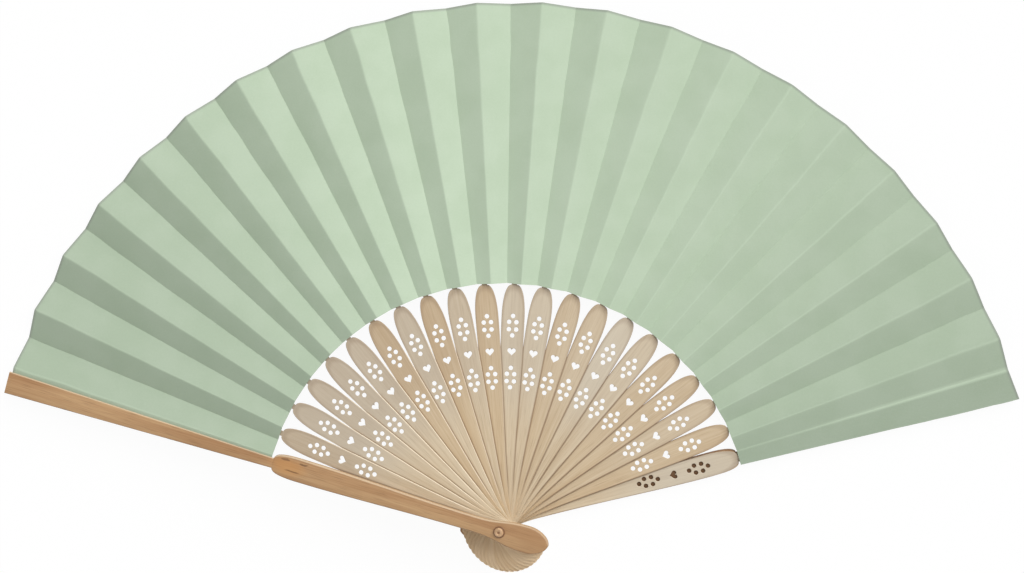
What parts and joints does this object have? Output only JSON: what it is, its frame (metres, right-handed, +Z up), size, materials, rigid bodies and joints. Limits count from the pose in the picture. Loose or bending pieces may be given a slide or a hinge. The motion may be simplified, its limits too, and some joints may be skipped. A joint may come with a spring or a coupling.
{
  "type": "folding fan",
  "caption": "Hand fan lying open: pierced bamboo ribs and two guards turn on a rivet and fold a pleated sage-green paper leaf.",
  "frame": {"origin": "centre of the rivet's rear head, on the plane that the back guard lies on", "axes": "+X to the right of the open fan seen from its front, +Y from the rivet to the top of the leaf, +Z up along the rivet towards the front guard"},
  "size_m": [0.3774, 0.2092, 0.0245],
  "materials": {
    "rib_bamboo": "pale bamboo, sanded, satin",
    "guard_bamboo": "warm tan bamboo with skin and long grain, satin",
    "leaf_paper": "sage-green pleated paper, matt",
    "rivet_metal": "dull bronzed rivet"
  },
  "bodies": {
    "back_guard": {"back_guard": "guard_bamboo", "rivet_pin": "rivet_metal", "leaf_pleat_22": "leaf_paper"},
    "rib_21": {"rib_21": "rib_bamboo", "leaf_pleat_21": "leaf_paper"},
    "rib_20": {"rib_20": "rib_bamboo", "leaf_pleat_20": "leaf_paper"},
    "rib_19": {"rib_19": "rib_bamboo", "leaf_pleat_19": "leaf_paper"},
    "rib_18": {"rib_18": "rib_bamboo", "leaf_pleat_18": "leaf_paper"},
    "rib_17": {"rib_17": "rib_bamboo", "leaf_pleat_17": "leaf_paper"},
    "rib_16": {"rib_16": "rib_bamboo", "leaf_pleat_16": "leaf_paper"},
    "rib_15": {"rib_15": "rib_bamboo", "leaf_pleat_15": "leaf_paper"},
    "rib_14": {"rib_14": "rib_bamboo", "leaf_pleat_14": "leaf_paper"},
    "rib_13": {"rib_13": "rib_bamboo", "leaf_pleat_13": "leaf_paper"},
    "rib_12": {"rib_12": "rib_bamboo", "leaf_pleat_12": "leaf_paper"},
    "rib_11": {"rib_11": "rib_bamboo", "leaf_pleat_11": "leaf_paper"},
    "rib_10": {"rib_10": "rib_bamboo", "leaf_pleat_10": "leaf_paper"},
    "rib_09": {"rib_09": "rib_bamboo", "leaf_pleat_09": "leaf_paper"},
    "rib_08": {"rib_08": "rib_bamboo", "leaf_pleat_08": "leaf_paper"},
    "rib_07": {"rib_07": "rib_bamboo", "leaf_pleat_07": "leaf_paper"},
    "rib_06": {"rib_06": "rib_bamboo", "leaf_pleat_06": "leaf_paper"},
    "rib_05": {"rib_05": "rib_bamboo", "leaf_pleat_05": "leaf_paper"},
    "rib_04": {"rib_04": "rib_bamboo", "leaf_pleat_04": "leaf_paper"},
    "rib_03": {"rib_03": "rib_bamboo", "leaf_pleat_03": "leaf_paper"},
    "rib_02": {"rib_02": "rib_bamboo", "leaf_pleat_02": "leaf_paper"},
    "rib_01": {"rib_01": "rib_bamboo", "leaf_pleat_01": "leaf_paper"},
    "front_guard": {"front_guard": "guard_bamboo", "leaf_pleat_00": "leaf_paper", "rivet_washer": "rivet_metal", "rivet_cap": "rivet_metal"}
  },
  "joints": [
    {"name": "last_pleat", "type": "hinge", "parent": "back_guard", "child": "rib_21", "pos_m": [0, 0, 0.0028], "axis": [0, 0, 1], "range_deg": [0, 7.1], "deforming": ["leaf_pleat_22"]},
    {"name": "fan_fold", "type": "hinge", "parent": "rib_21", "child": "rib_20", "pos_m": [0.00001, -0.00003, 0.00367], "axis": [-0.0113, 0.0343, 0.9993], "range_deg": [-7, 0], "deforming": ["leaf_pleat_20", "leaf_pleat_21"]},
    {"name": "fold_19", "type": "hinge", "parent": "rib_20", "child": "rib_19", "pos_m": [0.00003, -0.00006, 0.00453], "axis": [-0.0155, 0.0327, 0.9993], "range_deg": [-7, 0], "deforming": ["leaf_pleat_19"]},
    {"name": "fold_18", "type": "hinge", "parent": "rib_19", "child": "rib_18", "pos_m": [0.00005, -0.00008, 0.00537], "axis": [-0.0195, 0.0304, 0.9993], "range_deg": [-7, 0], "deforming": ["leaf_pleat_18"]},
    {"name": "fold_17", "type": "hinge", "parent": "rib_18", "child": "rib_17", "pos_m": [0.00008, -0.0001, 0.00622], "axis": [-0.0231, 0.0278, 0.9993], "range_deg": [-7, 0], "deforming": ["leaf_pleat_17"]},
    {"name": "fold_16", "type": "hinge", "parent": "rib_17", "child": "rib_16", "pos_m": [0.00011, -0.00011, 0.00707], "axis": [-0.0264, 0.0246, 0.9993], "range_deg": [-7, 0], "deforming": ["leaf_pleat_16"]},
    {"name": "fold_15", "type": "hinge", "parent": "rib_16", "child": "rib_15", "pos_m": [0.00015, -0.00011, 0.00792], "axis": [-0.0293, 0.0211, 0.9993], "range_deg": [-7, 0], "deforming": ["leaf_pleat_15"]},
    {"name": "fold_14", "type": "hinge", "parent": "rib_15", "child": "rib_14", "pos_m": [0.00019, -0.00011, 0.00877], "axis": [-0.0317, 0.0173, 0.9993], "range_deg": [-7, 0], "deforming": ["leaf_pleat_14"]},
    {"name": "fold_13", "type": "hinge", "parent": "rib_14", "child": "rib_13", "pos_m": [0.00023, -0.00009, 0.00962], "axis": [-0.0336, 0.0132, 0.9993], "range_deg": [-7, 0], "deforming": ["leaf_pleat_13"]},
    {"name": "fold_12", "type": "hinge", "parent": "rib_13", "child": "rib_12", "pos_m": [0.00027, -0.00007, 0.01047], "axis": [-0.035, 0.0089, 0.9993], "range_deg": [-7, 0], "deforming": ["leaf_pleat_12"]},
    {"name": "fold_11", "type": "hinge", "parent": "rib_12", "child": "rib_11", "pos_m": [0.0003, -0.00004, 0.01132], "axis": [-0.0358, 0.0044, 0.9993], "range_deg": [-7, 0], "deforming": ["leaf_pleat_11"]},
    {"name": "fold_10", "type": "hinge", "parent": "rib_11", "child": "rib_10", "pos_m": [0.00034, -0.00001, 0.01218], "axis": [-0.0361, -0.0001, 0.9993], "range_deg": [-7, 0], "deforming": ["leaf_pleat_10"]},
    {"name": "fold_09", "type": "hinge", "parent": "rib_10", "child": "rib_09", "pos_m": [0.00037, 0.00004, 0.01303], "axis": [-0.0357, -0.0046, 0.9994], "range_deg": [-7, 0], "deforming": ["leaf_pleat_09"]},
    {"name": "fold_08", "type": "hinge", "parent": "rib_09", "child": "rib_08", "pos_m": [0.00039, 0.00009, 0.01388], "axis": [-0.0349, -0.0091, 0.9994], "range_deg": [-7, 0], "deforming": ["leaf_pleat_08"]},
    {"name": "fold_07", "type": "hinge", "parent": "rib_08", "child": "rib_07", "pos_m": [0.0004, 0.00015, 0.01473], "axis": [-0.0334, -0.0134, 0.9994], "range_deg": [-7, 0], "deforming": ["leaf_pleat_07"]},
    {"name": "fold_06", "type": "hinge", "parent": "rib_07", "child": "rib_06", "pos_m": [0.00041, 0.00021, 0.01558], "axis": [-0.0315, -0.0175, 0.9994], "range_deg": [-7, 0], "deforming": ["leaf_pleat_06"]},
    {"name": "fold_05", "type": "hinge", "parent": "rib_06", "child": "rib_05", "pos_m": [0.0004, 0.00028, 0.01642], "axis": [-0.029, -0.0212, 0.9994], "range_deg": [-7, 0], "deforming": ["leaf_pleat_05"]},
    {"name": "fold_04", "type": "hinge", "parent": "rib_05", "child": "rib_04", "pos_m": [0.00039, 0.00035, 0.01727], "axis": [-0.0261, -0.0247, 0.9994], "range_deg": [-7, 0], "deforming": ["leaf_pleat_04"]},
    {"name": "fold_03", "type": "hinge", "parent": "rib_04", "child": "rib_03", "pos_m": [0.00036, 0.00042, 0.01812], "axis": [-0.0228, -0.0278, 0.9994], "range_deg": [-7, 0], "deforming": ["leaf_pleat_03"]},
    {"name": "fold_02", "type": "hinge", "parent": "rib_03", "child": "rib_02", "pos_m": [0.00033, 0.00048, 0.01897], "axis": [-0.0191, -0.0304, 0.9994], "range_deg": [-7, 0], "deforming": ["leaf_pleat_02"]},
    {"name": "fold_01", "type": "hinge", "parent": "rib_02", "child": "rib_01", "pos_m": [0.00028, 0.00055, 0.01982], "axis": [-0.0152, -0.0325, 0.9994], "range_deg": [-7, 0], "deforming": ["leaf_pleat_01"]},
    {"name": "front_fold", "type": "hinge", "parent": "rib_01", "child": "front_guard", "pos_m": [0.00016, 0.00044, 0.02045], "axis": [0.0178, 0.0452, 0.9988], "range_deg": [-7, 0], "deforming": ["leaf_pleat_00"]}
  ],
  "couplings": [
    {"joint": "fold_19", "follows": "fan_fold", "ratio": 1},
    {"joint": "fold_18", "follows": "fan_fold", "ratio": 1},
    {"joint": "fold_17", "follows": "fan_fold", "ratio": 1},
    {"joint": "fold_16", "follows": "fan_fold", "ratio": 1},
    {"joint": "fold_15", "follows": "fan_fold", "ratio": 1},
    {"joint": "fold_14", "follows": "fan_fold", "ratio": 1},
    {"joint": "fold_13", "follows": "fan_fold", "ratio": 1},
    {"joint": "fold_12", "follows": "fan_fold", "ratio": 1},
    {"joint": "fold_11", "follows": "fan_fold", "ratio": 1},
    {"joint": "fold_10", "follows": "fan_fold", "ratio": 1},
    {"joint": "fold_09", "follows": "fan_fold", "ratio": 1},
    {"joint": "fold_08", "follows": "fan_fold", "ratio": 1},
    {"joint": "fold_07", "follows": "fan_fold", "ratio": 1},
    {"joint": "fold_06", "follows": "fan_fold", "ratio": 1},
    {"joint": "fold_05", "follows": "fan_fold", "ratio": 1},
    {"joint": "fold_04", "follows": "fan_fold", "ratio": 1},
    {"joint": "fold_03", "follows": "fan_fold", "ratio": 1},
    {"joint": "fold_02", "follows": "fan_fold", "ratio": 1},
    {"joint": "fold_01", "follows": "fan_fold", "ratio": 1},
    {"joint": "front_fold", "follows": "fan_fold", "ratio": 1}
  ]
}
